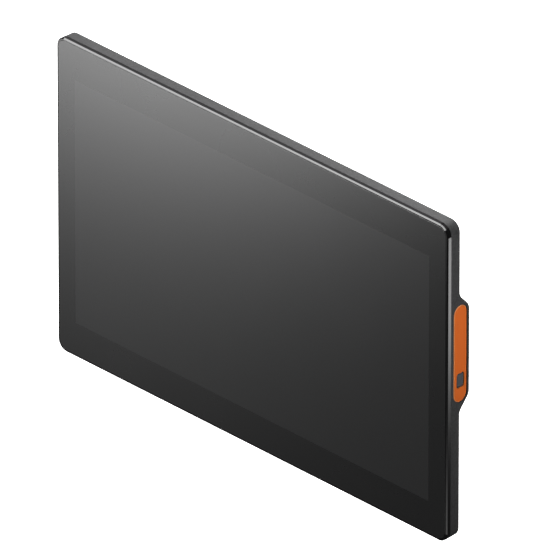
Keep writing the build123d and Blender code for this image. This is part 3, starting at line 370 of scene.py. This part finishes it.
# For each slot of the record: dark tone, light tone, roughness, grain, relief and, for metal, how metallic.
SURFACES = {
    "rim_black": ((0.003, 0.003, 0.0032), (0.005, 0.005, 0.0052), (0.07, 0.1), 0.5 * MM, 0.3e-6),
    "shell_grey": ((0.010, 0.010, 0.0103), (0.087, 0.087, 0.0887), (0.55, 0.65), 1.4 * MM, 150e-6),
    "accent_orange": ((0.74, 0.140, 0.012), (0.80, 0.156, 0.016), (0.45, 0.52), 0.3 * MM, 3e-6),
    "key_grey": ((0.075, 0.075, 0.082), (0.09, 0.09, 0.098), (0.45, 0.55), 0.3 * MM, 5e-6),
    "adhesive": ((0.02, 0.02, 0.02), (0.04, 0.04, 0.04), (0.8, 0.95), 0.5 * MM, 20e-6),
    "clear_layer": ((0.42, 0.44, 0.46), (0.5, 0.52, 0.55), (0.08, 0.14), 1.0 * MM, 1e-6),
    "display_dark": ((0.010, 0.010, 0.013), (0.016, 0.016, 0.020), (0.15, 0.22), 0.4 * MM, 1e-6),
    "white_film": ((0.78, 0.79, 0.81), (0.86, 0.87, 0.89), (0.35, 0.45), 0.6 * MM, 2e-6),
    "frame_white": ((0.72, 0.72, 0.71), (0.8, 0.8, 0.79), (0.45, 0.55), 0.4 * MM, 6e-6),
    "steel": ((0.48, 0.49, 0.5), (0.6, 0.61, 0.62), (0.28, 0.42), 0.5 * MM, 3e-6, 1.0),
    "screw_black": ((0.015, 0.015, 0.016), (0.03, 0.03, 0.03), (0.35, 0.5), 0.3 * MM, 4e-6, 0.4),
    "screw_steel": ((0.5, 0.5, 0.51), (0.62, 0.62, 0.63), (0.22, 0.35), 0.3 * MM, 3e-6, 1.0),
    "board_green": ((0.012, 0.10, 0.045), (0.02, 0.15, 0.07), (0.3, 0.42), 0.8 * MM, 6e-6),
    "film_amber": ((0.36, 0.15, 0.02), (0.5, 0.23, 0.035), (0.2, 0.3), 0.8 * MM, 2e-6),
    "cable_white": ((0.62, 0.62, 0.64), (0.74, 0.74, 0.76), (0.35, 0.45), 0.5 * MM, 4e-6),
    "chip_black": ((0.014, 0.014, 0.015), (0.024, 0.024, 0.025), (0.45, 0.6), 0.2 * MM, 5e-6),
    "part_grey": ((0.15, 0.15, 0.16), (0.22, 0.22, 0.24), (0.4, 0.55), 0.3 * MM, 5e-6),
    "pad_grey": ((0.3, 0.36, 0.44), (0.36, 0.43, 0.52), (0.7, 0.85), 0.4 * MM, 10e-6),
    "aluminium": ((0.7, 0.71, 0.73), (0.82, 0.83, 0.85), (0.25, 0.4), 0.5 * MM, 4e-6, 1.0),
    "can_metal": ((0.6, 0.6, 0.6), (0.74, 0.74, 0.73), (0.16, 0.28), 0.5 * MM, 2e-6, 1.0),
    "lead_black": ((0.012, 0.012, 0.012), (0.022, 0.022, 0.022), (0.55, 0.7), 0.3 * MM, 5e-6),
    "connector_black": ((0.012, 0.012, 0.012), (0.02, 0.02, 0.02), (0.4, 0.5), 0.3 * MM, 5e-6),
    "speaker_black": ((0.018, 0.018, 0.018), (0.03, 0.03, 0.03), (0.5, 0.6), 0.3 * MM, 10e-6),
    "cone": ((0.035, 0.035, 0.038), (0.06, 0.06, 0.064), (0.8, 0.92), 0.3 * MM, 30e-6),
    "foam": ((0.02, 0.02, 0.02), (0.045, 0.045, 0.045), (0.9, 1.0), 0.25 * MM, 60e-6),
    "grille_black": ((0.016, 0.016, 0.017), (0.025, 0.025, 0.026), (0.5, 0.62), 0.3 * MM, 12e-6),
    "label_silver": ((0.26, 0.265, 0.275), (0.31, 0.315, 0.325), (0.4, 0.5), 0.8 * MM, 2e-6),
}

EXTRAS = {
    "shell_grey": {"specular": 0.25, "fine_share": 0.85},
    # The orange plate gets a painted highlight on its bevels, a lighter orange mixed into its colour.
    "accent_orange": {"specular": 0.15, "overlay": painted_bevel_highlight},
    "key_grey": {"specular": 0.2},
    "label_silver": {"specular": 0.3, "overlay": printed_fields},
}


def make_materials():
    made = {}
    for name, recipe in SURFACES.items():
        made[name] = textured(name, *recipe, **EXTRAS.get(name, {}))
    made["screen_glass"] = glass_surface()
    made["acoustic_cloth"] = cloth_surface()
    made["gold"] = textured("gold", (0.72, 0.45, 0.12), (0.83, 0.55, 0.18), (0.2, 0.3), 0.3 * MM, 2e-6,
                            metallic=1.0)
    return made


def paint_nodes(materials):
    """Every CAD node takes the finish of its slot in the record."""
    for part in frame["record"]["subparts"]:
        for slot in frame["nodes"][part["node"]].material_slots:
            slot.material = materials[part["material_slot"]]


# ---- pieces that only the picture needs ---------------------------------------------------------------------
def piece(name, shape, material, smooth=False):
    """A new mesh object that rides on the housing."""
    mesh = bpy.data.meshes.new(name)
    for face in shape.faces:
        face.smooth = smooth
    shape.to_mesh(mesh)
    shape.free()
    mesh.materials.append(material)
    made = bpy.data.objects.new(name, mesh)
    bpy.context.scene.collection.objects.link(made)
    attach(made, "housing")
    return made


def sheet(cells, xs, zs, y):
    """An upright grid of cells, with its faces towards the back."""
    shape = bmesh.new()
    columns, rows = cells
    points = [[shape.verts.new((xs[0] + (xs[1] - xs[0]) * i / columns, y, zs[0] + (zs[1] - zs[0]) * k / rows))
               for k in range(rows + 1)] for i in range(columns + 1)]
    for i in range(columns):
        for k in range(rows):
            shape.faces.new((points[i][k], points[i][k + 1], points[i + 1][k + 1], points[i + 1][k]))
    return shape


def make_cloths():
    """Cloth behind the slots of each speaker grille, slightly wavy between its glued edges."""
    for side, name in ((-1, "grille_cloth_left"), (1, "grille_cloth_right")):
        middle = side * GRILLE_X
        half_w, half_h = CLOTH_HALF
        shape = sheet((84, 48), (middle - half_w, middle + half_w), (BAND_Z - half_h, BAND_Z + half_h),
                      REAR - CLOTH_BEHIND)
        for vert in shape.verts:
            u = (vert.co.x - middle) / half_w
            v = (vert.co.z - BAND_Z) / half_h
            slack = (1 - u * u) * (1 - v * v)
            vert.co.y -= CLOTH_SLACK * slack * (1 + 0.4 * math.sin(7 * u + 2 * v))
        cloth = piece(name, shape, MATERIALS["acoustic_cloth"], smooth=True)
        thick = cloth.modifiers.new("thickness", "SOLIDIFY")
        thick.thickness = CLOTH_T
        thick.offset = -1.0


def make_vent_meshes():
    """Wire mesh behind the vent slots."""
    cells = [round((high - low) / VENT_CELL) for low, high in (VENT_X, VENT_Z)]
    for side, name in ((-1, "vent_mesh_left"), (1, "vent_mesh_right")):
        xs = sorted(side * x for x in VENT_X)
        shape = sheet(cells, xs, VENT_Z, REAR - VENT_BEHIND)
        wires = piece(name, shape, MATERIALS["screw_black"]).modifiers.new("wires", "WIREFRAME")
        wires.thickness = VENT_WIRE
        wires.use_even_offset = False


def make_threads():
    """A screw thread inside each of the four rear mounting holes."""
    count = round(SCREW_DEPTH / SCREW_PITCH * SCREW_STEPS)
    profile = ((0.0, SCREW_FLANK), (RIDGE, 0.0), (0.0, -SCREW_FLANK))
    shape = bmesh.new()
    for centre_x in (-MOUNT_HALF, MOUNT_HALF):
        for centre_z in (-MOUNT_HALF, MOUNT_HALF):
            rings = []
            for i in range(count + 1):
                turn = i / SCREW_STEPS
                angle = math.tau * turn
                y = REAR - SCREW_START - SCREW_PITCH * turn * (SCREW_DEPTH - SCREW_RUN_OUT) / SCREW_DEPTH
                fade = min(1.0, turn, (count - i) / SCREW_STEPS)
                ring = []
                for height, shift in profile:
                    radius = MOUNT_R - height * fade
                    ring.append(shape.verts.new((centre_x + radius * math.cos(angle), y + shift * SCREW_PITCH,
                                                 centre_z + radius * math.sin(angle))))
                rings.append(ring)
            for first, second in zip(rings, rings[1:]):
                for a, b in ((0, 1), (1, 2), (2, 0)):
                    shape.faces.new((first[a], first[b], second[b], second[a]))
            shape.faces.new(rings[0])
            shape.faces.new(reversed(rings[-1]))
    bmesh.ops.recalc_face_normals(shape, faces=shape.faces)
    piece("mount_threads", shape, MATERIALS["screw_steel"])


def make_contacts():
    """Four contact springs on the tongue of each wide socket, raised a little at their tips."""
    shape = bmesh.new()
    low, high = USB_Z
    profile = [(low, 0.0), (low + 0.8 * MM, 1.0), (low + 2.0 * MM, 1.0), (low + 3.0 * MM, 0.4), (high, 0.4)]
    for centre in USB_X:
        for offset in CONTACTS:
            rows = []
            for z, lift in profile:
                front = USB_FACE_Y - CONTACT_T * (1 + 3 * lift)
                x = centre + offset
                rows.append([shape.verts.new((x + dx * CONTACT_HALF, y, z))
                             for dx, y in ((-1, USB_FACE_Y), (-1, front), (1, front), (1, USB_FACE_Y))])
            for first, second in zip(rows, rows[1:]):
                for a in range(4):
                    b = (a + 1) % 4
                    shape.faces.new((first[a], first[b], second[b], second[a]))
            shape.faces.new(rows[0])
            shape.faces.new(reversed(rows[-1]))
    bmesh.ops.recalc_face_normals(shape, faces=shape.faces)
    piece("usb_contacts", shape, MATERIALS["gold"])


make_camera()
make_world()
make_floor()
make_lights()
bpy.context.scene.view_settings.view_transform = "Standard"
MATERIALS = make_materials()
paint_nodes(MATERIALS)
make_cloths()
make_vent_meshes()
make_threads()
make_contacts()
